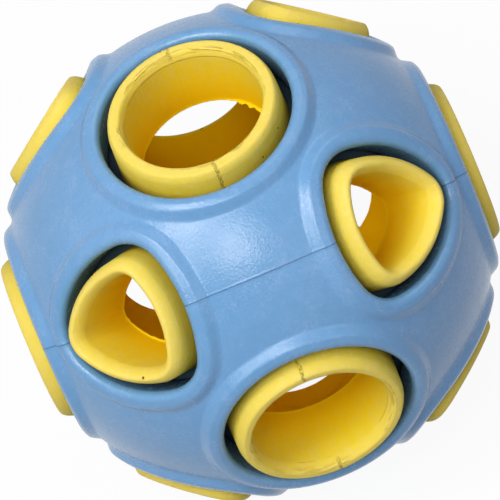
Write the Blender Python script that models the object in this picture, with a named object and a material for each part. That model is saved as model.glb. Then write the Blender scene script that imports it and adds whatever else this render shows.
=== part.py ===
"""A chew ball: a pierced rubber shell around a hollow rubber ball whose spouts stand through it.

Six round spouts lie on the X, Y and Z axes and eight rounded triangular ones on the diagonals
between them. The shell and the ball are each two mouldings bonded at a flat parting plane.
The origin is the centre of the ball, and the shell turns about Z until its openings meet spouts.
"""

import math

import bmesh
import bpy
from mathutils import Matrix, Vector

MM = 0.001

# Outer shell
SHELL_RADIUS = 43.9 * MM
SHELL_WALL = 6.3 * MM
COLLAR_HEIGHT = 1.1 * MM
COLLAR_WIDTH = 3.5 * MM
COLLAR_SLOPE = 1.3 * MM
LIP_RADIUS = 1.7 * MM

# Inner ball and its spouts
RUNNING_GAP = 0.5 * MM
CORE_WALL = 5.9 * MM
ROUND_BORE_RADIUS = 12.5 * MM
TRIANGLE_CORNER_REACH = 6.75 * MM
TRIANGLE_CORNER_RADIUS = 2.75 * MM
TRIANGLE_SIDE_REACH = 9.0 * MM
SPOUT_WALL = 3.0 * MM
SPOUT_CLEARANCE = 1.85 * MM
SPOUT_PROUD = 2.35 * MM
RIM_INNER_RADIUS = 1.4 * MM
RIM_OUTER_RADIUS = 1.0 * MM

# Glue line between the two mouldings of the shell, and of the ball
BOND_LINE = 0.3 * MM

# Facets
STEPS_PER_SIDE = 8
CORNER_STEPS = 4
FILLET_STEPS = 2
WEB_STEPS = 2
WELD = 0.001 * MM
SHARP_ANGLE = math.radians(35)

# Sizes that follow
CREST_RADIUS = SHELL_RADIUS + COLLAR_HEIGHT
SHELL_INNER_RADIUS = SHELL_RADIUS - SHELL_WALL
CORE_RADIUS = SHELL_INNER_RADIUS - RUNNING_GAP
CAVITY_RADIUS = CORE_RADIUS - CORE_WALL
THROAT_OFFSET = SPOUT_WALL + SPOUT_CLEARANCE
FOOT_OFFSET = THROAT_OFFSET + COLLAR_WIDTH

# Angle between neighbouring round and triangular axes, and from each to the cell corners
NEIGHBOUR_ANGLE = math.acos(math.sqrt(1 / 3))
ROUND_CORNER_ANGLE = math.acos(math.sqrt(1 / 2))
TRIANGLE_CORNER_ANGLE = math.acos(math.sqrt(2 / 3))

SHELL_PARTING_NORMAL = Vector((0, 1, 1)).normalized()
CORE_PARTING_NORMAL = Vector((1, 0, 0))

BLUE = (0.195, 0.392, 0.658, 1.0)
YELLOW = (0.855, 0.610, 0.071, 1.0)
RUBBER_ROUGHNESS = 0.45


def clear_scene():
    """Remove every object that the file opens with."""
    for thing in list(bpy.data.objects):
        bpy.data.objects.remove(thing, do_unlink=True)


def rubber(name, colour):
    """A plain rubber material of one colour."""
    material = bpy.data.materials.new(name)
    material.use_nodes = True
    shader = material.node_tree.nodes["Principled BSDF"]
    shader.inputs["Base Color"].default_value = colour
    shader.inputs["Roughness"].default_value = RUBBER_ROUGHNESS
    shader.inputs["Metallic"].default_value = 0.0
    return material


def heading(angle):
    """A unit vector in the plane of an outline."""
    return Vector((math.cos(angle), math.sin(angle)))


def arc(centre, radius, start, span, steps):
    """Points along an arc, without the one at its end."""
    return [centre + radius * heading(start + span * step / steps) for step in range(steps)]


def direction(polar, around):
    """A unit vector at an angle from an opening's axis, in the opening's own frame."""
    return Vector((*(math.sin(polar) * heading(around)), math.cos(polar)))


class Opening:
    """A spout and the opening around it, on one cell of the sphere.

    The cell's corners are the points midway between neighbouring round axes, so the first point
    of every ring faces a cell corner and the middle of each side faces a neighbour of the other kind.
    """

    def __init__(self, axis, towards_corner):
        normal = Vector(axis).normalized()
        across = Vector(towards_corner).normalized()
        across = (across - across.dot(normal) * normal).normalized()
        self.frame = Matrix((across, normal.cross(across), normal)).transposed()
        crest = self.heights(THROAT_OFFSET + LIP_RADIUS, CREST_RADIUS)
        self.rim_height = sum(crest) / len(crest) + SPOUT_PROUD

    def heights(self, offset, radius):
        """How high a sphere stands over each point of the outline."""
        return [math.sqrt(radius**2 - point.length_squared) for point in self.outline(offset)]

    def ring(self, offset, heights):
        """The outline at an offset, each point at its own height."""
        return [Vector((*point, height)) for point, height in zip(self.outline(offset), heights)]

    def level_ring(self, offset, height):
        """The outline at an offset, in one plane across the axis."""
        return [Vector((*point, height)) for point in self.outline(offset)]

    def sphere_ring(self, offset, radius):
        """The outline at an offset, laid on a sphere."""
        return self.ring(offset, self.heights(offset, radius))

    def cell_edge(self, offset, radius):
        """The cell's edge on a sphere, halfway between the two kinds of outline at an offset."""
        round_reach = math.asin(RoundOpening.reach(offset) / radius)
        triangle_reach = math.asin(TriangleOpening.reach(offset) / radius)
        halfway = (round_reach + NEIGHBOUR_ANGLE - triangle_reach) / 2
        edge_height = math.cos(ROUND_CORNER_ANGLE)
        edge_distance = edge_height * math.cos(ROUND_CORNER_ANGLE)
        bulge = edge_distance / math.tan(halfway) - edge_height
        points = []
        for side in range(self.sides):
            start, end = (
                direction(self.corner_angle, math.tau * (side + k) / self.sides) for k in (0, 1)
            )
            for step in range(STEPS_PER_SIDE):
                t = step / STEPS_PER_SIDE
                lift = 4 * t * (1 - t) * bulge * self.round_axis(side)
                points.append(radius * (start.lerp(end, t) + lift).normalized())
        return points

    def web(self, offset, radius):
        """Rings on a sphere from the outline at an offset out to the cell's edge."""
        near = self.sphere_ring(offset, radius)
        far = self.cell_edge(offset, radius)
        rings = []
        for step in range(WEB_STEPS + 1):
            share = step / WEB_STEPS
            rings.append([radius * a.lerp(b, share).normalized() for a, b in zip(near, far)])
        return rings

    def fillet(self, offset, tops, radius, inwards):
        """Rings that round over from a wall to the face above it, which lies inwards or outwards."""
        rings = []
        for step in range(FILLET_STEPS + 1):
            angle = math.pi / 2 * step / FILLET_STEPS
            shift = radius * (1 - math.cos(angle)) * (-1 if inwards else 1)
            drop = radius * (1 - math.sin(angle))
            rings.append(self.ring(offset + shift, [top - drop for top in tops]))
        return rings

    def shell_rings(self):
        """The shell's skin: its inner face, the opening's wall and lip, the collar and the outer face."""
        tops = self.heights(THROAT_OFFSET + LIP_RADIUS, CREST_RADIUS)
        return [
            *reversed(self.web(THROAT_OFFSET, SHELL_INNER_RADIUS)),
            *self.fillet(THROAT_OFFSET, tops, LIP_RADIUS, inwards=False),
            self.sphere_ring(FOOT_OFFSET - COLLAR_SLOPE, CREST_RADIUS),
            *self.web(FOOT_OFFSET, SHELL_RADIUS),
        ]

    def ball_rings(self):
        """The ball's skin: its hollow, the bore, the rim, the spout's outside and the outer face."""
        tops = [self.rim_height] * len(self.outline(0.0))
        return [
            *reversed(self.web(0.0, CAVITY_RADIUS)),
            *self.fillet(0.0, tops, RIM_INNER_RADIUS, inwards=False),
            *reversed(self.fillet(SPOUT_WALL, tops, RIM_OUTER_RADIUS, inwards=True)),
            *self.web(SPOUT_WALL, CORE_RADIUS),
        ]


class RoundOpening(Opening):
    """A round spout, with four triangular neighbours."""

    sides = 4
    corner_angle = ROUND_CORNER_ANGLE

    @staticmethod
    def reach(offset):
        """How far the outline reaches towards a neighbour."""
        return ROUND_BORE_RADIUS + offset

    def round_axis(self, side):
        """The round axis beside a side of the cell: its own, on every side."""
        return Vector((0, 0, 1))

    def outline(self, offset):
        """A circle."""
        return arc(Vector((0, 0)), self.reach(offset), 0.0, math.tau, self.sides * STEPS_PER_SIDE)


class TriangleOpening(Opening):
    """A rounded triangular spout, whose corners face its three round neighbours."""

    sides = 3
    corner_angle = TRIANGLE_CORNER_ANGLE

    @staticmethod
    def reach(offset):
        """How far the outline reaches towards a neighbour."""
        return TRIANGLE_CORNER_REACH + TRIANGLE_CORNER_RADIUS + offset

    def round_axis(self, side):
        """The round axis beside a side of the cell."""
        return direction(NEIGHBOUR_ANGLE, math.tau * (side + 0.5) / self.sides)

    def outline(self, offset):
        """Corner arcs that run tangent into slightly convex sides, from the middle of a side."""
        third = math.tau / self.sides
        reach, far = TRIANGLE_CORNER_REACH, TRIANGLE_SIDE_REACH
        corner_radius = TRIANGLE_CORNER_RADIUS + offset
        span = math.sqrt(reach**2 + far**2 + reach * far)
        corner_half = math.asin(far * math.sin(third) / span)
        side_half = third / 2 - corner_half
        side_steps = (STEPS_PER_SIDE - CORNER_STEPS) // 2
        points = []
        for side in range(self.sides):
            middle, corner = side * third, (side + 0.5) * third
            side_arc = (-far * heading(middle), corner_radius + span)
            next_arc = (-far * heading(middle + third), corner_radius + span)
            corner_arc = (reach * heading(corner), corner_radius)
            points += arc(*side_arc, middle, side_half, side_steps)
            points += arc(*corner_arc, corner - corner_half, 2 * corner_half, CORNER_STEPS)
            points += arc(*next_arc, corner + corner_half, side_half, side_steps)
        return points


def all_openings():
    """The six round and the eight triangular openings."""
    openings = []
    for sign in (1, -1):
        openings.append(RoundOpening((sign, 0, 0), (sign, 1, 0)))
        openings.append(RoundOpening((0, sign, 0), (0, sign, 1)))
        openings.append(RoundOpening((0, 0, sign), (1, 0, sign)))
    for x in (1, -1):
        for y in (1, -1):
            for z in (1, -1):
                openings.append(TriangleOpening((x, y, z), (x, y, 0)))
    return openings


def add_skin(mesh, opening, rings):
    """Add the strips of faces between an opening's rings."""
    loops = [[mesh.verts.new(opening.frame @ point) for point in ring] for ring in rings]
    for lower, upper in zip(loops, loops[1:]):
        for here in range(len(lower)):
            ahead = (here + 1) % len(lower)
            mesh.faces.new((upper[here], upper[ahead], lower[ahead], lower[here]))


def whole_skin(rings_of):
    """The closed skin of the shell or the ball, from its openings' cells welded together."""
    mesh = bmesh.new()
    for opening in all_openings():
        add_skin(mesh, opening, rings_of(opening))
    bmesh.ops.remove_doubles(mesh, verts=mesh.verts, dist=WELD)
    return mesh


def keep_half(mesh, normal):
    """Cut a skin back to one side of the parting plane and close it with flat bond faces."""
    parts = [*mesh.verts, *mesh.edges, *mesh.faces]
    face = BOND_LINE / 2 * normal
    bmesh.ops.bisect_plane(mesh, geom=parts, plane_co=face, plane_no=normal, clear_inner=True)
    open_edges = [edge for edge in mesh.edges if edge.is_boundary]
    bmesh.ops.holes_fill(mesh, edges=open_edges, sides=0)
    bmesh.ops.recalc_face_normals(mesh, faces=mesh.faces)


def moulding(name, parent, rings_of, normal, material):
    """One half of the shell or of the ball, on one side of its parting plane."""
    mesh = whole_skin(rings_of)
    keep_half(mesh, normal)
    data = bpy.data.meshes.new(name)
    mesh.to_mesh(data)
    mesh.free()
    data.shade_smooth()
    data.set_sharp_from_angle(angle=SHARP_ANGLE)
    data.materials.append(material)
    half = bpy.data.objects.new(name, data)
    bpy.context.scene.collection.objects.link(half)
    half.parent = parent


def centre_empty(name):
    """A body's parent at the ball's centre, on the axis that the shell turns about."""
    body = bpy.data.objects.new(name, None)
    bpy.context.scene.collection.objects.link(body)
    return body


def build():
    """Make the four mouldings of the chew ball."""
    clear_scene()
    shell = centre_empty("outer_shell")
    blue = rubber("blue_rubber", BLUE)
    for side, normal in (("upper", SHELL_PARTING_NORMAL), ("lower", -SHELL_PARTING_NORMAL)):
        moulding(f"outer_shell_{side}_half", shell, Opening.shell_rings, normal, blue)
    ball = centre_empty("inner_ball")
    yellow = rubber("yellow_rubber", YELLOW)
    for side, normal in (("right", CORE_PARTING_NORMAL), ("left", -CORE_PARTING_NORMAL)):
        moulding(f"inner_ball_{side}_half", ball, Opening.ball_rings, normal, yellow)


build()
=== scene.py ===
"""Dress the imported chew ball: two mouldings of its blue shell and two of the yellow ball inside.

Lengths are in millimetres around the ball's centre until a mesh is made. Each of the fourteen
openings owns a cell of the sphere, and a skin is a grid over that cell: rings run from the inner
face through the opening to the outer face, and columns run round the opening's axis.
"""

from __future__ import annotations

import logging
import math
from dataclasses import dataclass, field
from enum import Enum
from typing import Any

import bmesh
import bpy
import numpy as np
from mathutils import Matrix, Vector

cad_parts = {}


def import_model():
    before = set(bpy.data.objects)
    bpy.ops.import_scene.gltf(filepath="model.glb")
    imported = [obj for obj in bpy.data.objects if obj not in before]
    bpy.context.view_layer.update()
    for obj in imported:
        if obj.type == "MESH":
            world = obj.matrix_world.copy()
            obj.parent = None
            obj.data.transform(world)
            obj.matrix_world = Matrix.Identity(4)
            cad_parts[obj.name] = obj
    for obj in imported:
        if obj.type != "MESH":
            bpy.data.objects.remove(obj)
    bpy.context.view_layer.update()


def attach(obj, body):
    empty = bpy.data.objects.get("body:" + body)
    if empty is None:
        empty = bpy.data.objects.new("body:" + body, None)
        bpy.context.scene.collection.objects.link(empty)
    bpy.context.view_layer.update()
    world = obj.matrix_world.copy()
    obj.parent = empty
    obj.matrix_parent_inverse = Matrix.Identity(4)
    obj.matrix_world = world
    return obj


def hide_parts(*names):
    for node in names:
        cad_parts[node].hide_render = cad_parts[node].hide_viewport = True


LOG = logging.getLogger("chew_ball")

MM = 0.001

# Points of neighbouring cells become one within the first distance, in metres. Points within the
# second of a parting plane, in millimetres, lie on it.
WELD = 0.002 * MM
ON_PLANE = 0.001

# Angle between neighbouring round and triangular axes, and from each kind to its cell's corners.
NEIGHBOUR_ANGLE = math.acos(math.sqrt(1 / 3))
ROUND_CORNER_ANGLE = math.acos(math.sqrt(1 / 2))
TRIANGLE_CORNER_ANGLE = math.acos(math.sqrt(2 / 3))

Colour = tuple[float, float, float]
Axis = tuple[int, int, int]
Point = tuple[float, float, float]
Bands = dict[str, np.ndarray]
Marks = dict[str, np.ndarray]

# Unit normals of the planes where the two mouldings of the shell and of the ball meet.
SHELL_PARTING: Point = (0.0, math.sqrt(0.5), math.sqrt(0.5))
BALL_PARTING: Point = (1.0, 0.0, 0.0)

WHITE = (1.0, 1.0, 1.0, 1.0)


class OpeningKind(Enum):
    """The two kinds of opening, by the number of sides of the cell that each one owns."""

    ROUND = 4
    TRIANGLE = 3

    def choose(self, for_round: float, for_triangle: float) -> float:
        """Whichever of two values belongs to this kind."""
        return for_round if self is OpeningKind.ROUND else for_triangle

    @property
    def corner_angle(self) -> float:
        """Angle from the opening's axis to a corner of its cell."""
        return self.choose(ROUND_CORNER_ANGLE, TRIANGLE_CORNER_ANGLE)


def heading(angle: np.ndarray) -> np.ndarray:
    """Unit vectors in the plane of an outline: cosine and sine of the angle."""
    return np.stack([np.cos(angle), np.sin(angle)], axis=-1)


def direction(polar: float, around: np.ndarray) -> np.ndarray:
    """Unit vectors at one angle from an axis and at several angles around it."""
    flat = math.sin(polar) * heading(around)
    return np.concatenate([flat, np.full(flat.shape[:-1] + (1,), math.cos(polar))], axis=-1)


def unit(vectors: np.ndarray) -> np.ndarray:
    """The same vectors, each divided by its length."""
    return vectors / np.linalg.norm(vectors, axis=-1, keepdims=True)


def rounded_ramp(x: np.ndarray, start: float, end: float, blend: float) -> np.ndarray:
    """A straight ramp from 0 to 1 whose two bends are rounded by parabolas.

    Args:
        x: Where the ramp is wanted.
        start: Middle of the lower bend.
        end: Middle of the upper bend.
        blend: Half the width of each bend.

    Returns:
        The ramp's height at each x.
    """

    def bend(y: np.ndarray) -> np.ndarray:
        """Zero before the bend, a parabola in it, and the straight line after it."""
        return np.where(y > blend, y, np.clip(y + blend, 0, 2 * blend) ** 2 / (4 * blend))

    return (bend(x - start) - bend(x - end)) / (end - start)


@dataclass(frozen=True)
class Outline:
    """The edge of a bore in its opening's frame, and the way straight out of it at each column."""

    edge: np.ndarray
    out: np.ndarray

    def offset(self, distance: np.ndarray | float) -> np.ndarray:
        """Points in the plane of the edge that lie a distance outside it."""
        return self.edge + np.asarray(distance)[..., None] * self.out

    def lifted(self, distance: np.ndarray | float, heights: np.ndarray) -> np.ndarray:
        """Points a distance outside the edge, set at heights along the opening's axis.

        Args:
            distance: How far outside the edge the points lie.
            heights: Their heights, which spread over the same rings and columns.

        Returns:
            Points by ring and column, and by opening where either of the two differs between them.
        """
        flat = self.offset(distance)
        shape = np.broadcast_shapes(flat.shape[:-1], np.shape(heights))
        parts = (flat[..., 0], flat[..., 1], heights)
        return np.stack([np.broadcast_to(part, shape) for part in parts], axis=-1)

    def on_sphere(self, distance: np.ndarray | float, radius: np.ndarray | float) -> np.ndarray:
        """Points a distance outside the edge, lifted along the axis until they lie on a sphere."""
        from_axis = np.square(self.offset(distance)).sum(axis=-1)
        return self.lifted(distance, np.sqrt(np.square(radius) - from_axis))


@dataclass(frozen=True)
class OpeningPattern:
    """Fourteen bores over the sphere: six round on the axes, eight triangular on the diagonals.

    Reaches run from an axis to the centres of a triangle's corner arcs and, backwards, to those of
    its side arcs. A side of a cell has even steps, with close columns beside its ends and middle.
    The flat share is the part of it, at either end, whose columns lie on a triangle's side arc.
    """

    bore_radius: float = 12.5
    corner_reach: float = 6.75
    corner_radius: float = 2.75
    side_reach: float = 9.0
    steps: int = 28
    close_columns: tuple[float, ...] = (0.006, 0.016)
    flat_share: float = 0.31

    def stations(self) -> np.ndarray:
        """Where the columns lie along one side of a cell.

        Returns:
            Shares of the side from 0 to 1, closer together beside its ends and its middle.
        """
        even = np.arange(self.steps) / self.steps
        close = np.array(self.close_columns)
        return np.sort(np.concatenate([even, close, 1 - close, 0.5 - close, 0.5 + close]))

    def _triangle_arcs(self) -> tuple[float, float]:
        """Sizes of a triangle's arcs, by the cosine rule and the sine rule on their centres.

        Returns:
            Radius that a side's arc has over a corner's, and half the turn of a corner's arc.
        """
        reach, far = self.corner_reach, self.side_reach
        span = math.sqrt(reach**2 + far**2 + reach * far)
        return span, math.asin(far * math.sin(math.tau / 3) / span)

    def turn(self, kind: OpeningKind) -> np.ndarray:
        """The way out of the outline at each column, as an angle.

        Args:
            kind: Round openings turn evenly; triangular ones turn fast at their corners.

        Returns:
            One angle a column, from the first corner of the cell right round.
        """
        side = math.tau / kind.value
        stations = self.stations()
        within = side * stations
        if kind is OpeningKind.TRIANGLE:
            half = side / 2 - self._triangle_arcs()[1]
            share = self.flat_share
            within = np.interp(stations, [0, share, 1 - share, 1], [0, half, side - half, side])
        return (side * np.arange(kind.value)[:, None] + within).ravel()

    def outline(self, kind: OpeningKind) -> Outline:
        """The edge of a bore and the way out of it.

        A round edge is a circle. A triangular one has an arc at each corner, centred short of
        the corner, that runs tangent into side arcs centred beyond the axis.

        Args:
            kind: Which kind of opening.

        Returns:
            Points on the edge and unit vectors out of it, one pair a column.
        """
        angle = self.turn(kind)
        out = heading(angle)
        if kind is OpeningKind.ROUND:
            return Outline(self.bore_radius * out, out)
        side = math.tau / kind.value
        span, half = self._triangle_arcs()
        corner = (np.floor(angle / side) + 0.5) * side
        middle = np.round(angle / side) * side
        at_corner = self.corner_reach * heading(corner) + self.corner_radius * out
        on_side = -self.side_reach * heading(middle) + (self.corner_radius + span) * out
        in_corner = (np.abs(angle - corner) <= half)[:, None]
        return Outline(np.where(in_corner, at_corner, on_side), out)

    def mid_side(self, kind: OpeningKind) -> np.ndarray:
        """A raised cosine: one at the middle of a triangle's side. A round edge has nothing."""
        return kind.choose(0.0, 0.5) * (1 + np.cos(kind.value * self.turn(kind)))

    def cell_edge(self, kind: OpeningKind, offset: float, radius: float) -> np.ndarray:
        """Directions to the edge of a cell, halfway between the two kinds of outline.

        A side runs from corner to corner of the cell and is bowed towards the round axis by a
        parabola, so that neighbouring cells have the same points along it.

        Args:
            kind: Which kind of opening the cell belongs to.
            offset: How far outside the bores the two outlines lie.
            radius: Radius of the sphere that carries them.

        Returns:
            Unit vectors in the opening's frame, one a column.
        """
        round_reach = math.asin((self.bore_radius + offset) / radius)
        triangle_reach = math.asin((self.corner_reach + self.corner_radius + offset) / radius)
        halfway = (round_reach + NEIGHBOUR_ANGLE - triangle_reach) / 2
        bulge = 0.5 / math.tan(halfway) - math.sqrt(0.5)
        turn = math.tau / kind.value
        sides = np.arange(kind.value)
        start = direction(kind.corner_angle, turn * sides)[:, None, :]
        end = direction(kind.corner_angle, turn * (sides + 1))[:, None, :]
        if kind is OpeningKind.ROUND:
            axis = np.array([0.0, 0.0, 1.0])
        else:
            axis = direction(NEIGHBOUR_ANGLE, turn * (sides + 0.5))[:, None, :]
        share = self.stations()[None, :, None]
        edge = (1 - share) * start + share * end + 4 * share * (1 - share) * bulge * axis
        return unit(edge.reshape(-1, 3))

    def axes(self, kind: OpeningKind) -> list[Axis]:
        """The way out of each opening.

        Args:
            kind: Which kind of opening.

        Returns:
            Whole numbers along X, Y and Z, one set an opening.
        """
        signs = (1, -1)
        if kind is OpeningKind.TRIANGLE:
            return [(x, y, z) for x in signs for y in signs for z in signs]
        return [axis for k in signs for axis in ((k, 0, 0), (0, k, 0), (0, 0, k))]

    def frames(self, kind: OpeningKind) -> np.ndarray:
        """Turns from each opening's own frame into the ball's, whose columns are its axes.

        Args:
            kind: Which kind of opening. A column that starts its outline faces a cell corner.

        Returns:
            One 3 by 3 turn an opening.
        """
        axes = np.array(self.axes(kind), float)
        if kind is OpeningKind.TRIANGLE:
            across = axes * (1, 1, 0)
        else:
            across = np.roll(np.abs(axes), 1, axis=1)
        normal = unit(axes)
        across = unit(across - (across * normal).sum(-1, keepdims=True) * normal)
        return np.stack([across, np.cross(normal, across), normal], axis=-1)


@dataclass
class Skin:
    """A closed skin gathered cell by cell: points, quads, and values that the finish reads.

    The finish also reads each point's place in its own opening's frame. A spacing along the axis
    keeps the openings apart there, so that no two get the same noise.
    """

    points: list[np.ndarray] = field(default_factory=list)
    quads: list[np.ndarray] = field(default_factory=list)
    places: list[np.ndarray] = field(default_factory=list)
    marks: dict[str, list[np.ndarray]] = field(default_factory=dict)
    count: int = 0
    spacing: float = 300.0

    def add(self, grids: np.ndarray, frames: np.ndarray, marks: Marks) -> None:
        """Add every opening of one kind.

        Args:
            grids: Points in each opening's frame, by opening, ring and column.
            frames: Turns into the ball's frame, by opening.
            marks: Named values that spread over the same three.
        """
        openings, rings, columns = grids.shape[:3]
        self.points.append(np.einsum("oij,orcj->orci", frames, grids).reshape(-1, 3))
        place = grids.copy()
        place[..., 2] += self.spacing * np.arange(openings)[:, None, None]
        self.places.append(place.reshape(-1, 3))
        for name, mark in marks.items():
            self.marks.setdefault(name, []).append(np.broadcast_to(mark, grids.shape[:3]).ravel())
        index = self.count + np.arange(openings * rings * columns).reshape(openings, rings, columns)
        ahead = np.roll(index, -1, axis=2)
        strip = [index[:, 1:], ahead[:, 1:], ahead[:, :-1], index[:, :-1]]
        self.quads.append(np.stack(strip, axis=-1).reshape(-1, 4))
        self.count += openings * rings * columns

    def label(self, mesh: bpy.types.Mesh, used: np.ndarray) -> None:
        """Give a mesh the places and the marks of its points.

        Args:
            mesh: The mesh of a moulding, before any of its points are merged.
            used: Which points of the skin it has, in its own order.
        """
        place = mesh.attributes.new("spout_place", "FLOAT_VECTOR", "POINT")
        place.data.foreach_set("vector", np.concatenate(self.places)[used].ravel())
        for name, marks in self.marks.items():
            mark = mesh.attributes.new(name, "FLOAT", "POINT")
            mark.data.foreach_set("value", np.concatenate(marks)[used])

    def half(self, name: str, normal: np.ndarray, set_back: float) -> bpy.types.Object:
        """Make the moulding on one side of the parting plane, closed with flat bond faces.

        Args:
            name: Name of the piece.
            normal: Unit normal of the parting plane, towards the side that is kept.
            set_back: How far the bond faces lie from the plane, in millimetres.

        Returns:
            The piece, linked to the scene.
        """
        points = np.concatenate(self.points)
        quads = np.concatenate(self.quads)
        height = points @ normal
        shift = np.where(np.abs(height) < ON_PLANE, set_back - height, 0.0)
        points = points + shift[:, None] * normal
        quads = quads[height[quads].mean(axis=1) > 0]
        used, flat = np.unique(quads, return_inverse=True)
        mesh = bpy.data.meshes.new(name)
        mesh.from_pydata((points[used] * MM).tolist(), [], flat.reshape(-1, 4).tolist())
        self.label(mesh, used)
        mesh.shade_smooth()
        close(mesh)
        piece = bpy.data.objects.new(name, mesh)
        bpy.context.scene.collection.objects.link(piece)
        return piece


def close(mesh: bpy.types.Mesh) -> None:
    """Merge the points that neighbouring cells share, and fill the open edges with bond faces.

    Args:
        mesh: The mesh of a moulding.
    """
    shape = bmesh.new()
    shape.from_mesh(mesh)
    bmesh.ops.remove_doubles(shape, verts=shape.verts, dist=WELD)
    rim = [edge for edge in shape.edges if edge.is_boundary]
    for edge in rim:
        edge.smooth = False
    bmesh.ops.holes_fill(shape, edges=rim, sides=0)
    bmesh.ops.recalc_face_normals(shape, faces=shape.faces)
    shape.to_mesh(mesh)
    shape.free()


def web(near: np.ndarray, far: np.ndarray, radius: float, shares: np.ndarray) -> np.ndarray:
    """Rings on a sphere from an outline out to the edge of its cell.

    Args:
        near: Points of the outline.
        far: Unit vectors to the cell's edge.
        radius: Radius of the sphere.
        shares: How far along each ring lies, from 0 at the outline to 1 at the edge.

    Returns:
        Points by ring and column: straight mixes of the two ends, pushed out to the sphere.
    """
    share = shares[:, None, None]
    return radius * unit((1 - share) * unit(near) + share * far)


def soften(piece: bpy.types.Object, width: float, angle: float) -> None:
    """Round the piece's sharp edges, such as those of its bond faces.

    Args:
        piece: The moulding.
        width: Width of the rounding in millimetres.
        angle: Edges sharper than this many degrees are rounded.
    """
    bevel = piece.modifiers.new("edge_rounding", "BEVEL")
    bevel.width = width * MM
    bevel.segments = 2
    bevel.limit_method = "ANGLE"
    bevel.angle_limit = math.radians(angle)


class Value:
    """A shader socket that adds Math nodes when it is used in an expression."""

    def __init__(self, nodes: Nodes, socket: bpy.types.NodeSocket) -> None:
        """Keep the socket and the nodes that it belongs to."""
        self.nodes = nodes
        self.socket = socket

    def _math(self, operation: str, *values: Value | float) -> Value:
        """Add one Math node over these values."""
        return self.nodes.node("Math", {"operation": operation}, dict(enumerate(values)))

    def __add__(self, other: Value | float) -> Value:
        """This plus the other."""
        return self._math("ADD", self, other)

    __radd__ = __add__

    def __sub__(self, other: Value | float) -> Value:
        """This less the other."""
        return self._math("SUBTRACT", self, other)

    def __rsub__(self, other: float) -> Value:
        """The other less this."""
        return self._math("SUBTRACT", other, self)

    def __mul__(self, other: Value | float) -> Value:
        """This times the other."""
        return self._math("MULTIPLY", self, other)

    __rmul__ = __mul__

    def __abs__(self) -> Value:
        """This without its sign."""
        return self._math("ABSOLUTE", self)

    def larger(self, other: Value | float) -> Value:
        """The larger of this and the other."""
        return self._math("MAXIMUM", self, other)

    def step(self, low: float, high: float) -> Value:
        """A smooth step from 0 at low to 1 at high, also where high is the smaller."""
        sockets = {"Value": self, "From Min": low, "From Max": high}
        return self.nodes.node("MapRange", {"interpolation_type": "SMOOTHSTEP"}, sockets)


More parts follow.
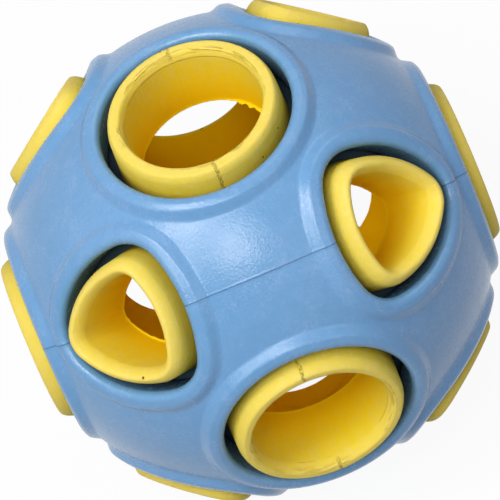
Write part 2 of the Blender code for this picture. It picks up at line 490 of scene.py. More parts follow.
class Nodes:
    """The nodes of one material, or of the world."""

    def __init__(self, owner: bpy.types.Material | bpy.types.World) -> None:
        """Start with an empty tree and an output.

        Args:
            owner: The material or world that the nodes are for.
        """
        self.owner = owner
        owner.use_nodes = True
        self.tree = owner.node_tree
        self.tree.nodes.clear()
        kind = "World" if isinstance(owner, bpy.types.World) else "Material"
        self.output = self.tree.nodes.new("ShaderNodeOutput" + kind)

    def node(
        self,
        kind: str,
        settings: dict[str, Any] | None = None,
        sockets: dict[str | int, Any] | None = None,
        output: str | int = 0,
    ) -> Value:
        """Add a node, set it up, and fill its sockets.

        Args:
            kind: The node's type without its ShaderNode prefix.
            settings: Properties of the node, set before its sockets.
            sockets: Constants or values for its inputs, by name or number.
            output: Which of its outputs is wanted.

        Returns:
            That output.
        """
        made = self.tree.nodes.new("ShaderNode" + kind)
        for name, setting in (settings or {}).items():
            setattr(made, name, setting)
        for name, given in (sockets or {}).items():
            if isinstance(given, Value):
                self.tree.links.new(given.socket, made.inputs[name])
            else:
                made.inputs[name].default_value = given
        return Value(self, made.outputs[output])

    def place(self) -> Value:
        """Where a point lies on the ball, in millimetres."""
        metres = self.node("TexCoord", output="Object")
        return self.scaled(metres, (1 / MM,) * 3)

    def mark(self, name: str) -> Value:
        """A value that the skin carries at each of its points."""
        return self.node("Attribute", {"attribute_name": name}, {}, "Fac")

    def scaled(self, vector: Value, factors: Point) -> Value:
        """A vector times factors along its three axes."""
        return self.node("VectorMath", {"operation": "MULTIPLY"}, {0: vector, 1: factors})

    def dot(self, vector: Value, way: Point) -> Value:
        """How far a vector goes along a fixed direction: their dot product."""
        return self.node("VectorMath", {"operation": "DOT_PRODUCT"}, {0: vector, 1: way}, "Value")

    def noise(self, vector: Value, size: float, detail: float = 2.0) -> Value:
        """Soft noise whose blots are about a size across, in millimetres."""
        sockets = {"Vector": vector, "Scale": 1 / size, "Detail": detail}
        return self.node("TexNoise", {"noise_dimensions": "3D"}, sockets)

    def mix(self, factor: Value, first: Value | Colour, second: Value | Colour) -> Value:
        """A colour between two, by a factor: a Mix node's inputs 6 and 7, and its output 2."""
        ends = [end if isinstance(end, Value) else (*end, 1.0) for end in (first, second)]
        return self.node("Mix", {"data_type": "RGBA"}, {0: factor, 6: ends[0], 7: ends[1]}, 2)

    def round_place(self, spout: Value, along: float) -> Value:
        """A place as it lies round its spout, for noise that runs along the rim.

        Args:
            spout: The place in the opening's own frame.
            along: Factor on the arc, below 1 to draw the noise out.

        Returns:
            The arc from the first column, the distance from the axis, and the height.
        """
        x, y, z = (self.node("SeparateXYZ", {}, {0: spout}, name) for name in "XYZ")
        flat = self.scaled(spout, (1, 1, 0))
        radius = self.node("VectorMath", {"operation": "LENGTH"}, {0: flat}, "Value")
        turn = self.node("Math", {"operation": "ARCTAN2"}, {0: y, 1: x})
        return self.node("CombineXYZ", {}, {0: turn * radius * along, 1: radius, 2: z})

    def speck(self, place: Value, middle: Point, radius: float) -> Value:
        """One inside a small ball round a point, with a soft edge, and nothing outside it."""
        apart = self.node("VectorMath", {"operation": "DISTANCE"}, {0: place, 1: middle}, "Value")
        return apart.step(1.3 * radius, 0.6 * radius)

    def bump(self, height: Value, depth: float) -> Value:
        """A normal pushed about by a height, which is a depth in millimetres where it is one."""
        sockets = {"Height": height, "Distance": depth * MM, "Strength": 1.0}
        return self.node("Bump", {}, sockets)

    def seen_directly(self) -> Value:
        """Whether a ray shows what it meets, and doesn't only carry its light.

        Returns:
            One for rays from the camera, from gloss or through something clear, or else nothing.
        """
        names = ("Is Camera Ray", "Is Glossy Ray", "Is Transmission Ray")
        camera, gloss, clear = (self.node("LightPath", {}, {}, name) for name in names)
        return camera.larger(gloss).larger(clear)

    def finish(self, shader: Value) -> bpy.types.Material | bpy.types.World:
        """Join a shader to the output and hand over the material or world."""
        self.tree.links.new(shader.socket, self.output.inputs["Surface"])
        return self.owner


@dataclass(frozen=True)
class RubberNoise:
    """Where a point lies on a piece, and the three noises that every rubber has there."""

    place: Value
    blots: Value
    cloud: Value
    grain: Value

    @classmethod
    def over(cls, nodes: Nodes, sizes: Point) -> RubberNoise:
        """Add the noises to a finish.

        Args:
            nodes: The finish's nodes.
            sizes: Sizes of the slow blots, the finer cloud and the grain, in millimetres.

        Returns:
            The noises, which run from 0 to 1 with their middle at a half.
        """
        place = nodes.place()
        details = (3.0, 3.0, 2.0)
        return cls(place, *(nodes.noise(place, *pair) for pair in zip(sizes, details)))


@dataclass(frozen=True)
class BlueRubber:
    """Satin blue rubber, faintly blotched and pitted, with a witness line at the parting plane and
    painted shade in its throats.

    Sizes and distances are in millimetres. The line and its ridge fade in between two distances
    from the plane. Bare numbers below are weights of the noises and levels that they step between.
    """

    deep: Colour = (0.131, 0.340, 0.588)
    pale: Colour = (0.174, 0.378, 0.627)
    scuff: Colour = (0.370, 0.490, 0.720)
    line: Colour = (0.060, 0.150, 0.330)
    # Painted shade: the dark colour of the shell's inner face and of the throats round the spouts.
    sunk: Colour = (0.055, 0.090, 0.180)
    roughness: float = 0.26
    specular: float = 0.55
    relief: float = 0.05
    noise_sizes: Point = (14.0, 2.2, 0.45)
    scuff_size: float = 5.0
    pit_spacing: float = 5.0
    line_fade: tuple[float, float] = (0.26, 0.05)
    ridge_fade: tuple[float, float] = (0.5, 0.2)

    def pits(self, nodes: Nodes, place: Value) -> Value:
        """Small pits in the middles of some cells of a cell pattern, picked by the cells' colours.

        Args:
            nodes: The finish's nodes.
            place: Where a point lies, in millimetres.

        Returns:
            One in a pit and nothing elsewhere.
        """
        cells = {"Vector": place, "Scale": 1 / self.pit_spacing}
        middle = nodes.node("TexVoronoi", {}, cells, "Distance").step(0.055, 0.02)
        colour = nodes.node("TexVoronoi", {}, cells, "Color")
        picked = nodes.node("SeparateColor", {}, {0: colour}).step(0.84, 0.86)
        return middle * picked

    def material(self) -> bpy.types.Material:
        """The finish: slow and fine noise in colour and gloss, scuffs, pits, the witness line, and
        painted shade in the throats.

        Returns:
            The material.
        """
        nodes = Nodes(bpy.data.materials.new("blue_rubber"))
        noise = RubberNoise.over(nodes, self.noise_sizes)
        tone = (noise.blots * 0.5 + noise.cloud * 0.3 + noise.grain * 0.2).step(0.34, 0.66)
        pit = self.pits(nodes, noise.place)
        rubbed = nodes.noise(noise.place, self.scuff_size, 4.0).step(0.50, 0.75)
        scuffed = rubbed * noise.grain.step(0.40, 0.65)
        from_plane = abs(nodes.dot(noise.place, SHELL_PARTING))
        colour = nodes.mix(tone, self.deep, self.pale)
        colour = nodes.mix(pit * 0.3, colour, self.line)
        colour = nodes.mix(scuffed * 0.35, colour, self.scuff)
        colour = nodes.mix(from_plane.step(*self.line_fade) * 0.5, colour, self.line)
        # Painted shade on the inner face and in the throats, fading out over the lips.
        colour = nodes.mix(nodes.mark("sunk"), colour, self.sunk)
        ridge = from_plane.step(*self.ridge_fade)
        height = noise.grain + noise.cloud * 0.5 - pit * 0.8 + ridge * 0.6
        sockets = {
            "Base Color": colour,
            "Roughness": self.roughness + (noise.cloud - 0.5) * 0.16 + (noise.blots - 0.5) * 0.10,
            "Specular IOR Level": self.specular,
            "Normal": nodes.bump(height, self.relief),
        }
        return nodes.finish(nodes.node("BsdfPrincipled", {}, sockets))


@dataclass(frozen=True)
class YellowRubber:
    """Dull yellow rubber with drag marks along its bores, crumbs where it was trimmed, and painted
    shade and sheen.

    Sizes and distances are in millimetres, and a stretch below 1 draws a noise out. The seam
    wanders about its plane and fades in between two distances from it. A speck has a middle and a
    radius. Bare numbers below are weights of the noises and levels that they step between.
    """

    # Painted bounce shade: the orange that yellow takes in shade, from light bounced between its
    # walls.
    hollow: Colour = (0.995, 0.585, 0.002)
    bore: Colour = (0.975, 0.800, 0.014)
    # The two pale yellows below are partly bloom on the rims and partly painted sheen where light
    # falls.
    rim: Colour = (0.930, 0.725, 0.125)
    pale: Colour = (0.950, 0.780, 0.170)
    stain: Colour = (0.460, 0.280, 0.020)
    dirt: Colour = (0.060, 0.045, 0.020)
    # Painted shade in the gaps round the spouts, with a painted reflection of the blue shell around
    # them.
    sunk: Colour = (0.050, 0.085, 0.110)
    roughness: float = 0.55
    specular: float = 0.0
    coat: float = 0.5
    coat_roughness: float = 0.45
    relief: float = 0.08
    noise_sizes: Point = (9.0, 1.6, 0.35)
    crumb_size: float = 0.35
    drag_size: float = 0.9
    drag_stretch: float = 0.12
    stroke_size: float = 0.5
    stroke_stretch: float = 0.15
    seam_wander: float = 0.8
    seam_fade: tuple[float, float] = (0.46, 0.16)
    specks: tuple[tuple[Point, float], ...] = (
        ((-25.62, -32.71, 19.44), 0.28),
        ((12.56, -9.17, 39.43), 0.20),
        ((8.22, -13.20, 38.61), 0.20),
        ((-1.27, -42.20, -14.35), 0.26),
        ((15.29, -42.20, 0.32), 0.22),
        ((-1.25, 14.78, 42.70), 0.22),
    )

    def bare_colour(self, nodes: Nodes, noise: RubberNoise, open_air: Value, drag: Value) -> Value:
        """The colour without stains: painted orange bounce shade deep inside, yellow in the bores,
        and pale rims that are partly bloom and partly painted sheen.

        Args:
            nodes: The finish's nodes.
            noise: Its noises.
            open_air: Paleness of the surface: partly bloom on the rims, partly painted sheen where
                light falls.
            drag: Noise drawn out along the bores.

        Returns:
            The colour.
        """
        uneven = (noise.blots - 0.5) * 0.35 + (noise.cloud - 0.5) * 0.25 + (drag - 0.5) * 0.2
        # Painted bounce shade: orange deep in the bores and down the spouts' sides.
        colour = nodes.mix(nodes.mark("deep"), self.bore, self.hollow)
        # Pale rim colour: partly bloom, partly painted sheen on lit parts; where it fades down the
        # walls it leaves painted shade.
        colour = nodes.mix((open_air + uneven).step(0.0, 1.0), colour, self.rim)
        dust = (noise.cloud * 0.5 + noise.grain * 0.5).step(0.42, 0.68)
        return nodes.mix(dust * open_air * 0.8, colour, self.pale)

    def torn_seam(self, nodes: Nodes, noise: RubberNoise) -> Value:
        """Crumbs along the seam: a fine noise, close to the plane where the mouldings meet.

        Args:
            nodes: The finish's nodes.
            noise: Its noises.

        Returns:
            One in a crumb and nothing elsewhere.
        """
        across = nodes.dot(noise.place, BALL_PARTING) + (noise.cloud - 0.5) * self.seam_wander
        seam = abs(across).step(*self.seam_fade) * nodes.mark("outside")
        return seam * nodes.noise(noise.place, self.crumb_size, 3.0).step(0.44, 0.58)

    def material(self) -> bpy.types.Material:
        """The finish: rims pale with bloom and painted sheen, painted shade in the far bores and
        gaps, grain, drag marks, crumbs at trims and seam.

        Returns:
            The material.
        """
        nodes = Nodes(bpy.data.materials.new("yellow_rubber"))
        noise = RubberNoise.over(nodes, self.noise_sizes)
        spout = nodes.node("Attribute", {"attribute_name": "spout_place"}, {}, "Vector")
        drag = nodes.noise(nodes.scaled(spout, (1.0, 1.0, self.drag_stretch)), self.drag_size, 3.0)
        strokes = nodes.noise(nodes.round_place(spout, self.stroke_stretch), self.stroke_size)
        open_air = nodes.mark("open_air")
        torn = self.torn_seam(nodes, noise)
        trimmed = nodes.mark("trim") * noise.blots.step(0.38, 0.54) * strokes.step(0.46, 0.60)
        worn = trimmed.larger(torn)
        crease = nodes.mark("crease") * noise.blots.step(0.42, 0.52)
        stained = (worn * 0.4).larger(crease * 0.4).larger(torn * 0.55)
        colour = self.bare_colour(nodes, noise, open_air, drag)
        colour = nodes.mix(stained, colour, self.stain)
        for middle, radius in self.specks:
            colour = nodes.mix(nodes.speck(noise.place, middle, radius), colour, self.dirt)
        # Painted shade, tinted with a painted blue reflection, down the spouts' sides and across
        # the core in the gaps.
        colour = nodes.mix(nodes.mark("sunk"), colour, self.sunk)
        rough = noise.grain * 0.4 + noise.cloud * 0.4 + drag * 1.2 + strokes * open_air
        sockets = {
            "Base Color": colour,
            "Roughness": self.roughness + (noise.cloud - 0.5) * 0.14 + worn * 0.2,
            "Specular IOR Level": self.specular,
            "Coat Weight": open_air.step(0.60, 0.95) * self.coat,
            "Coat Roughness": self.coat_roughness,
            "Normal": nodes.bump(rough - worn * 2.5 - crease, self.relief),
        }
        return nodes.finish(nodes.node("BsdfPrincipled", {}, sockets))


@dataclass(frozen=True)
class ShellRings:
    """How many rings each band of the shell's skin has.

    A span is the part of a collar's width that a band takes up, and the power crowds the rings of
    the outside towards the opening.
    """

    inside: int = 8
    wall: int = 5
    lip: int = 11
    crest: int = 5
    crest_span: tuple[float, float] = (0.08, 0.30)
    slope: int = 24
    slope_span: tuple[float, float] = (0.34, 1.0)
    outside: int = 12
    outside_power: float = 1.2


@dataclass
class OuterShell:
    """The blue shell: a hollow sphere with a raised collar round each of its openings.

    The throat is the distance from a bore's edge to the wall of the shell's opening. A slope is the
    width of the step from a collar down to the sphere. The crown is the share of its height that a
    collar loses across its crest, and the side spread is the share by which it is wider at the
    middle of a triangle's side.
    """

    pattern: OpeningPattern
    finish: BlueRubber = field(default_factory=BlueRubber)
    rings: ShellRings = ShellRings()
    radius: float = 43.9
    wall: float = 6.3
    collar_height: float = 1.15
    crown: float = 0.04
    round_slope: float = 0.55
    triangle_slope: float = 0.70
    slope_end: float = 3.75
    slope_blend: float = 0.50
    side_spread: float = 0.12
    lip_radius: float = 1.4
    inner_edge: float = 0.6
    throat: float = 4.85
    set_back: float = 0.008
    edge_rounding: float = 0.06
    edge_angle: float = 50.0

    @property
    def foot(self) -> float:
        """Distance from an opening's wall to the end of its collar's step."""
        return self.slope_end + self.slope_blend

    def lip(self, outline: Outline) -> tuple[np.ndarray, np.ndarray]:
        """The rounded edge of an opening.

        A circle touches the opening's wall and, from inside, the sphere of the collar's crest.
        The rings go round it from the wall to where it meets that sphere.

        Args:
            outline: The bore's edge.

        Returns:
            Points by ring and column, and how far outside the wall the last ring lies.
        """
        crest = self.radius + self.collar_height
        centre = outline.offset(self.throat + self.lip_radius)
        height = np.sqrt((crest - self.lip_radius) ** 2 - np.square(centre).sum(axis=-1))
        last = math.pi / 2 + np.arctan2((centre * outline.out).sum(axis=-1), height)
        angle = np.linspace(0, 1, self.rings.lip)[:, None] * last
        distance = self.throat + self.lip_radius * (1 - np.cos(angle))
        points = outline.lifted(distance, height + self.lip_radius * np.sin(angle))
        return points, self.lip_radius * (1 - np.cos(last))

    def collar(self, kind: OpeningKind, outline: Outline, reach: np.ndarray) -> np.ndarray:
        """The collar's crest and the step down from it to the sphere.

        Each ring is the outline at one distance from the wall. Its height over the shell's sphere
        falls as a parabola across the crest and then by a rounded ramp down to nothing.

        Args:
            kind: Which kind of opening.
            outline: The bore's edge.
            reach: Where the lip ends, as a distance outside the wall.

        Returns:
            Points by ring and column.
        """
        spread = 1 + self.side_spread * self.pattern.mid_side(kind)
        crest = np.linspace(*self.rings.crest_span, self.rings.crest)
        slope = np.linspace(*self.rings.slope_span, self.rings.slope)
        shares = np.concatenate([crest, slope])[:, None]
        distance = reach + shares * (self.foot * spread - reach)
        start = self.slope_end - kind.choose(self.round_slope, self.triangle_slope)
        step = rounded_ramp(distance / spread, start, self.slope_end, self.slope_blend)
        across = np.clip((distance - reach) / (start * spread - reach), 0, 1)
        height = self.collar_height * (1 - self.crown * across**2) * (1 - step)
        return outline.on_sphere(self.throat + distance, self.radius + height)

    def grid(self, kind: OpeningKind) -> tuple[np.ndarray, Marks]:
        """The shell's skin over one cell, from its inner face to its outer face.

        The wall of an opening is straight. Painted shade darkens the inner face and the wall,
        fading over the lip.

        Args:
            kind: Which kind of opening.

        Returns:
            Points by ring and column, and the marks of each ring.
        """
        outline = self.pattern.outline(kind)
        inner = self.radius - self.wall
        inside = web(
            outline.on_sphere(self.throat + self.inner_edge, inner),
            self.pattern.cell_edge(kind, self.throat, inner),
            inner,
            np.linspace(1, 0, self.rings.inside),
        )
        lip, reach = self.lip(outline)
        bottom = inside[-1][:, 2] + self.inner_edge
        up = np.linspace(0, 1, self.rings.wall, endpoint=False)[:, None]
        wall = outline.lifted(self.throat, bottom + up * (lip[0][:, 2] - bottom))
        collar = self.collar(kind, outline, reach)
        outside = web(
            collar[-1],
            self.pattern.cell_edge(kind, self.throat + self.foot, self.radius),
            self.radius,
            np.linspace(0, 1, self.rings.outside + 1)[1:] ** self.rings.outside_power,
        )
        points = np.concatenate([inside, wall, lip, collar, outside])
        first_wall, first_lip = len(inside), len(inside) + len(wall)
        # Painted shade: full on the inner face, fading up the wall and out over the lip.
        stops = [first_wall, first_lip, first_lip + 2, first_lip + 5]
        sunk = np.interp(np.arange(len(points)), stops, [0.9, 0.5, 0.12, 0])
        return points, {"sunk": sunk[:, None]}

    def build(self) -> list[bpy.types.Object]:
        """Make the two mouldings, upper and lower, and set them on their body.

        Returns:
            The two pieces.
        """
        skin = Skin()
        for kind in OpeningKind:
            frames = self.pattern.frames(kind)
            grid, marks = self.grid(kind)
            skin.add(np.broadcast_to(grid, (len(frames), *grid.shape)), frames, marks)
        material = self.finish.material()
        halves = []
        for side, sign in (("upper", 1.0), ("lower", -1.0)):
            normal = sign * np.array(SHELL_PARTING)
            piece = skin.half(f"shell_{side}_moulding", normal, self.set_back)
            soften(piece, self.edge_rounding, self.edge_angle)
            piece.data.materials.append(material)
            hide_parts(f"outer_shell_{side}_half")
            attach(piece, "outer_shell")
            halves.append(piece)
        return halves


@dataclass(frozen=True)
class BallRings:
    """How many rings each band of the ball's skin has, apart from the flash.

    The power crowds the rings of the hollow towards the opening.
    """

    hollow: int = 12
    hollow_power: float = 1.3
    bore: int = 9
    rim: int = 9
    side: int = 8
    fillet: int = 3
    skirt: int = 7


@dataclass
class InnerBall:
    """The yellow ball: a hollow core with a spout through each opening of the shell.

    A rim stands lower than others of its kind by its drop, or higher where that is below 0. Two
    rims were cut flat across, by a depth of cut, and are creased where their rounding starts. The
    shaded far bores have no bloom or painted sheen on them and take painted bounce shade all along.
    Thin flash stands into every bore, and over part of two bores
    more of it is left torn: a tear has a middle, as an angle round its bore, half a width, also in
    degrees, and a reach. A fin of flash has shares of its reach at heights over the hollow.
    """

    pattern: OpeningPattern
    finish: YellowRubber = field(default_factory=YellowRubber)
    rings: BallRings = BallRings()
    core_radius: float = 37.1
    cavity_radius: float = 31.2
    rim_wall: float = 2.98
    spout_wall: float = 3.25
    round_rim: float = 43.119
    triangle_rim: float = 44.65
    drops: dict[Axis, float] = field(
        default_factory=lambda: {
            (0, 0, 1): -0.35,
            (0, -1, 0): 0.18,
            (0, 1, 0): -0.35,
            (1, -1, 1): 0.3,
            (-1, -1, 1): -0.4,
            (-1, 0, 0): -0.35,
        }
    )
    cuts: dict[Axis, float] = field(default_factory=lambda: {(0, 0, 1): 0.70, (0, -1, 0): 0.32})
    # Far bores that lie in shade: no paleness, and painted orange bounce shade all along.
    shaded_far_bores: tuple[Axis, ...] = ((0, 1, 0), (0, 0, -1), (-1, 1, -1))
    rim_inner: float = 1.3
    rim_inner_depth: float = 2.4
    rim_outer: float = 1.35
    rim_outer_depth: float = 2.4
    rim_power: float = 1.5
    foot_fillet: float = 0.8
    hollow_edge: float = 0.05
    bore_start: float = 1.2
    bore_stop: float = 0.25
    flash: float = 0.08
    flash_least: float = 0.03
    flash_ragged: tuple[float, float] = (0.2, 1.0)
    fin_shares: tuple[float, ...] = (0.55, 1.0, 0.8, 0.12, 0.0)
    fin_heights: tuple[float, ...] = (0.02, 0.10, 0.24, 0.36, 0.60)
    tears: dict[Axis, tuple[float, float, float]] = field(
        default_factory=lambda: {(0, 0, 1): (36.0, 22.0, 0.9), (-1, -1, 1): (345.0, 60.0, 0.28)}
    )
    seed: int = 11
    set_back: float = 0.0

    def each(self, kind: OpeningKind, values: dict[Axis, float]) -> np.ndarray:
        """Values of the openings that have one and 0 for the rest, to spread over their rings."""
        return np.array([values.get(axis, 0.0) for axis in self.pattern.axes(kind)])[:, None, None]

    def flash_reach(self, kind: OpeningKind, draws: np.random.Generator) -> np.ndarray:
        """How far ragged flash stands into each bore at its inner end.

        A trapezium round the bore says where the flash is torn, and a fresh draw at every column
        makes its edge ragged.

        Args:
            kind: Which kind of opening.
            draws: Source of the draws.

        Returns:
            Reaches in millimetres, by opening and column.
        """
        untorn = (0.0, 1.0, 0.0)
        tears = np.array([self.tears.get(axis, untorn) for axis in self.pattern.axes(kind)])
        middle, half, reach = tears.T[..., None]
        angle = np.degrees(self.pattern.turn(kind))
        away = np.abs((angle - middle + 180) % 360 - 180)
        torn = reach * np.clip(2 - 2 * away / half, 0, 1)
        ragged = draws.uniform(*self.flash_ragged, torn.shape)
        return self.flash_least + (self.flash + torn) * ragged

    def bore_bands(
        self, outline: Outline, bottom: np.ndarray, rim: np.ndarray, reach: np.ndarray
    ) -> Bands:
        """The fin of flash at the inner end of a bore, and the straight bore from there to the rim.

        Args:
            outline: The bore's edge.
            bottom: Heights at which the hollow ends, by column.
            rim: Heights of the rims, by opening.
            reach: How far the flash stands into the bores, by opening and column.

        Returns:
            Points by opening, ring and column, under the bands' names.
        """
        fin = np.array(self.fin_shares)[:, None] * reach[:, None, :]
        fin_up = np.array(self.fin_heights)[:, None]
        start = bottom + self.bore_start
        stop = rim - self.rim_inner_depth - self.bore_stop
        along = np.linspace(0, 1, self.rings.bore)[:, None]
        return {
            "flash": outline.lifted(-fin, bottom + fin_up),
            "bore": outline.lifted(0.0, start + along * (stop - start)),
        }

    def rim_bands(self, outline: Outline, rim: np.ndarray, cut: np.ndarray) -> Bands:
        """The rim's inner and outer sides: quarters of a superellipse, cut flat at a depth.

        Args:
            outline: The bore's edge.
            rim: Heights of the rims, by opening.
            cut: Depths to which they were cut, by opening.

        Returns:
            Points by opening, ring and column, under the bands' names.
        """
        quarter = np.linspace(0, math.pi / 2, self.rings.rim)[:, None]
        away = 1 - np.cos(quarter) ** (2 / self.rim_power)
        below = 1 - np.sin(quarter) ** (2 / self.rim_power)
        inner = rim - np.maximum(self.rim_inner_depth * below, cut)
        outer = rim - np.maximum(self.rim_outer_depth * below[::-1], cut)
        return {
            "mouth": outline.lifted(self.rim_inner * away, inner),
            "brow": outline.lifted(self.rim_wall - self.rim_outer * away[::-1], outer),
        }

    def outer_bands(self, kind: OpeningKind, outline: Outline, rim: np.ndarray) -> Bands:
        """The spout's outside, the fillet at its foot, and the core's face out to the cell's edge.

        The outside widens in a straight line down to the fillet, which is a quarter circle.

        Args:
            kind: Which kind of opening.
            outline: The bore's edge.
            rim: Heights of the rims, by opening.

        Returns:
            Points by ring and column, and the outside's also by opening, under the bands' names.
        """
        foot = outline.on_sphere(self.spout_wall + self.foot_fillet, self.core_radius)
        ledge = foot[:, 2] + self.foot_fillet
        top = rim - self.rim_outer_depth
        down = np.linspace(0, 1, self.rings.side + 1)[1:, None]
        wall = self.rim_wall + down * (self.spout_wall - self.rim_wall)
        bend = np.linspace(0, math.pi / 2, self.rings.fillet + 2)[1:-1, None]
        swell = self.spout_wall + self.foot_fillet * (1 - np.cos(bend))
        edge = self.pattern.cell_edge(kind, self.spout_wall, self.core_radius)
        return {
            "side": outline.lifted(wall, top + down * (ledge - top)),
            "fillet": outline.lifted(swell, ledge - self.foot_fillet * np.sin(bend)),
            "skirt": web(foot, edge, self.core_radius, np.linspace(0, 1, self.rings.skirt)),
        }

    def marks(self, kind: OpeningKind, first: dict[str, int], count: int) -> Marks:
        """Values that the finish reads: straight lines between stops at rings of the bands.

        Args:
            kind: Which kind of opening.
            first: Number of each band's first ring.
            count: Number of rings in all.

        Returns:
            Values by ring, and by opening where they differ between openings.
        """
        ring = np.arange(count)[:, None]
        flash, bore, mouth = first["flash"], first["bore"], first["mouth"]
        brow, side, fillet = first["brow"], first["side"], first["fillet"]
        # Painted shade: the shaded far bores lose their paleness and take the orange painted bounce
        # shade.
        is_shaded_far_bore = self.each(kind, dict.fromkeys(self.shaded_far_bores, 1.0))
        is_cut = self.each(kind, self.cuts) > 0
        far_bore_shade = np.interp(ring, [mouth + 2, mouth + 7], [1, 0]) * is_shaded_far_bore
        # Paleness: bloom on the rims, painted sheen running into the bores, fading down the spout's
        # side as painted shade.
        pale_stops = [bore, bore + 4, mouth, brow, side, fillet]
        pale_share = np.interp(ring, pale_stops, [0, 0.18, 0.52, 0.95, 0.60, 0])
        # Painted bounce shade: orange at the flash and deep in the bore, none on the rim, more down
        # the spout's side.
        bounce_shade_stops = [flash, flash + 1, bore, mouth, brow, side, fillet]
        deep = np.interp(ring, bounce_shade_stops, [1, 0.3, 0.85, 0, 0, 0.5, 1])
        crease = np.interp(ring, [mouth - 1, mouth, mouth + 1], [0, 1, 0])
        trim = np.interp(ring, [mouth + 2, mouth + 4, mouth + 6, mouth + 8], [0, 1, 1, 0])
        return {
            "crease": crease * is_cut,
            "trim": trim * is_cut,
            "open_air": pale_share * (1 - far_bore_shade),
            "outside": np.interp(ring, [mouth + 1, mouth + 4, fillet - 1, fillet], [0, 1, 1, 0]),
            # Painted shade down the spout's side, over its fillet and across the core's face in the
            # gap.
            "sunk": np.interp(ring, [side + 2, side + 6, fillet + 1], [0, 0.5, 1]),
            "deep": np.maximum(deep, far_bore_shade),
        }

    def grids(self, kind: OpeningKind, draws: np.random.Generator) -> tuple[np.ndarray, Marks]:
        """The ball's skin over every cell of one kind, from the hollow to its outer face.

        Args:
            kind: Which kind of opening.
            draws: Source of the draws for the flash.

        Returns:
            Points by opening, ring and column, and the marks of each ring.
        """
        outline = self.pattern.outline(kind)
        rim = kind.choose(self.round_rim, self.triangle_rim) - self.each(kind, self.drops)
        hollow = web(
            outline.on_sphere(self.hollow_edge, self.cavity_radius),
            self.pattern.cell_edge(kind, 0.0, self.cavity_radius),
            self.cavity_radius,
            np.linspace(1, 0, self.rings.hollow) ** self.rings.hollow_power,
        )
        bands = {
            "hollow": hollow,
            **self.bore_bands(outline, hollow[-1][:, 2], rim, self.flash_reach(kind, draws)),
            **self.rim_bands(outline, rim, self.each(kind, self.cuts)),
            **self.outer_bands(kind, outline, rim),
        }
        counts = [band.shape[-3] for band in bands.values()]
        first = dict(zip(bands, np.cumsum([0, *counts])))
        spread = [np.broadcast_to(band, (len(rim), *band.shape[-3:])) for band in bands.values()]
        return np.concatenate(spread, axis=1), self.marks(kind, first, sum(counts))

    def build(self) -> list[bpy.types.Object]:
        """Make the two mouldings, right and left, and set them on their body.

        Returns:
            The two pieces.
        """
        draws = np.random.default_rng(self.seed)
        skin = Skin()
        for kind in OpeningKind:
            grids, marks = self.grids(kind, draws)
            skin.add(grids, self.pattern.frames(kind), marks)
        material = self.finish.material()
        halves = []
        for side, sign in (("right", 1.0), ("left", -1.0)):
            normal = sign * np.array(BALL_PARTING)
            piece = skin.half(f"ball_{side}_moulding", normal, self.set_back)
            piece.data.materials.append(material)
            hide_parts(f"inner_ball_{side}_half")
            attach(piece, "inner_ball")
            halves.append(piece)
        return halves


@dataclass(frozen=True)
class SoftLight:
    """A square lamp that faces the ball, hung as the camera sees it.

    Its way has parts to the right, up, and towards the camera. Its distance and the length of its
    side are in millimetres, and its level is the light that it alone gives a surface facing it.
    """

    name: str
    way: Point
    distance: float
    side: float
    level: float


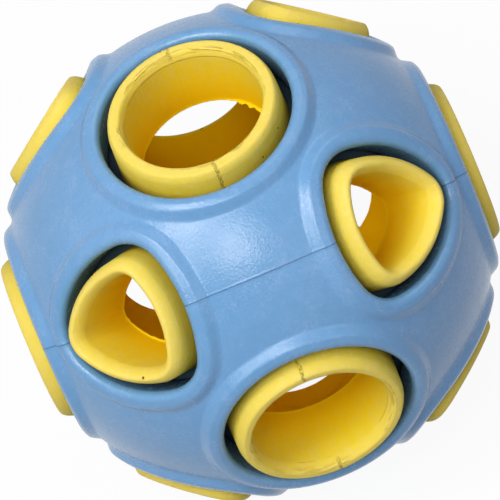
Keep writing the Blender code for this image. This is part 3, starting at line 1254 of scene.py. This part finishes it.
@dataclass
class Studio:
    """A pale floor, soft light and a camera at the photograph's viewing angle.

    The key light and the side light hang to the left of the camera, and fills hang above, ahead and
    to the right. The surroundings give a dim light, a little stronger from the way of the glow.
    """

    towards_camera: Vector = field(default_factory=lambda: Vector((0.0046, -0.6269, 0.7791)))
    right: Vector = field(default_factory=lambda: Vector((0.9223, -0.2985, -0.2456)))
    up: Vector = field(default_factory=lambda: Vector((0.3866, 0.7196, 0.5768)))
    distance: float = 697.8
    focal_px: float = 3827.0
    frame_px: float = 500.0
    centre_px: tuple[float, float] = (251.18, 249.54)
    sensor: float = 36.0
    clip: tuple[float, float] = (0.01, 20.0)
    lamps: tuple[SoftLight, ...] = (
        SoftLight("key_light", (-0.50, 0.25, 0.83), 800.0, 280.0, 0.39),
        SoftLight("side_light", (-0.60, -0.16, 0.78), 800.0, 300.0, 0.19),
        SoftLight("top_light", (0.10, 0.90, 0.42), 900.0, 600.0, 0.17),
        SoftLight("front_light", (-0.14, 0.04, 0.99), 900.0, 300.0, 0.29),
        SoftLight("right_light", (0.55, 0.10, 0.83), 900.0, 300.0, 0.055),
    )
    front: Colour = (0.165, 0.153, 0.235)
    back: Colour = (0.107, 0.102, 0.175)
    glow_way: Point = (-0.45, 0.15, 0.88)
    glow_span: tuple[float, float] = (-0.8, 0.9)
    floor_level: float = -43.119
    floor_half: float = 3000.0
    floor_lines: int = 9
    floor_white: float = 0.93
    floor_seen: Colour = (0.95, 0.95, 0.95)
    floor_bounce: Colour = (0.35, 0.35, 0.35)

    def seen(self, way: Point) -> Vector:
        """A direction given as the camera sees it: to the right, up, and towards it."""
        right, up, near = way
        return (right * self.right + up * self.up + near * self.towards_camera).normalized()

    def camera(self) -> None:
        """Stand the camera at its distance, aimed so that the ball's centre falls on its pixel."""
        data = bpy.data.cameras.new("camera")
        data.sensor_width = self.sensor
        data.lens = self.focal_px / self.frame_px * self.sensor
        data.clip_start, data.clip_end = self.clip
        per_px = self.distance / self.focal_px
        off_right = (self.frame_px / 2 - self.centre_px[0]) * per_px
        off_up = (self.centre_px[1] - self.frame_px / 2) * per_px
        aim = off_right * self.right + off_up * self.up
        place = self.distance * self.towards_camera
        back = (place - aim).normalized()
        right = self.up.cross(back).normalized()
        turn = Matrix((right, back.cross(right), back)).transposed().to_4x4()
        camera = bpy.data.objects.new("camera", data)
        camera.matrix_world = Matrix.Translation(place * MM) @ turn
        bpy.context.scene.collection.objects.link(camera)
        bpy.context.scene.camera = camera

    def lamp(self, light: SoftLight) -> None:
        """Hang one soft light, whose power grows with the square of its distance.

        Args:
            light: The light.
        """
        towards = self.seen(light.way)
        data = bpy.data.lights.new(light.name, "AREA")
        data.size = light.side * MM
        data.energy = light.level * (math.pi * light.distance * MM) ** 2
        lamp = bpy.data.objects.new(light.name, data)
        lamp.location = towards * (light.distance * MM)
        lamp.rotation_mode = "QUATERNION"
        lamp.rotation_quaternion = towards.to_track_quat("Z", "Y")
        bpy.context.scene.collection.objects.link(lamp)

    def floor_finish(self) -> bpy.types.Material:
        """White to the eye but for a faint shadow, and greyer in the light that it throws back.

        Returns:
            The material.
        """
        nodes = Nodes(bpy.data.materials.new("white_floor"))
        seen = nodes.seen_directly()
        paint = nodes.mix(seen, self.floor_bounce, self.floor_seen)
        matt = nodes.node("BsdfDiffuse", {}, {"Color": paint})
        white = nodes.node("Emission", {}, {"Color": WHITE, "Strength": 1.0})
        shader = nodes.node("MixShader", {}, {0: seen * self.floor_white, 1: matt, 2: white})
        return nodes.finish(shader)

    def floor(self) -> None:
        """Lay the floor under the lowest rim: a flat grid of two parameters."""
        lines = self.floor_lines
        steps = np.linspace(-self.floor_half, self.floor_half, lines)
        x, y = np.meshgrid(steps, steps, indexing="ij")
        points = np.stack([x, y, np.full_like(x, self.floor_level)], axis=-1).reshape(-1, 3)
        index = np.arange(lines**2).reshape(lines, lines)
        corners = [index[:-1, :-1], index[1:, :-1], index[1:, 1:], index[:-1, 1:]]
        mesh = bpy.data.meshes.new("floor")
        mesh.from_pydata((points * MM).tolist(), [], np.stack(corners, -1).reshape(-1, 4).tolist())
        mesh.materials.append(self.floor_finish())
        floor = bpy.data.objects.new("floor", mesh)
        bpy.context.scene.collection.objects.link(floor)

    def surroundings(self) -> None:
        """White all round to the eye, and a dim light to everything else, more from the front."""
        nodes = Nodes(bpy.data.worlds.new("surroundings"))
        way = nodes.node("TexCoord", {}, {}, "Generated")
        ahead = nodes.dot(way, tuple(self.seen(self.glow_way)))
        glow = nodes.mix(ahead.step(*self.glow_span), self.back, self.front)
        dim = nodes.node("Background", {}, {"Color": glow})
        white = nodes.node("Background", {}, {"Color": WHITE})
        shader = nodes.node("MixShader", {}, {0: nodes.seen_directly(), 1: dim, 2: white})
        bpy.context.scene.world = nodes.finish(shader)

    def build(self) -> None:
        """Set the stage."""
        bpy.context.scene.view_settings.view_transform = "Standard"
        self.camera()
        for light in self.lamps:
            self.lamp(light)
        self.surroundings()
        self.floor()


def main() -> None:
    """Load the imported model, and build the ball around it."""
    logging.basicConfig(level=logging.INFO, format="%(message)s")
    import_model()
    pattern = OpeningPattern()
    Studio().build()
    for assembly in (OuterShell(pattern), InnerBall(pattern)):
        for piece in assembly.build():
            LOG.info("%s: %d faces", piece.name, len(piece.data.polygons))


if __name__ == "__main__":
    main()
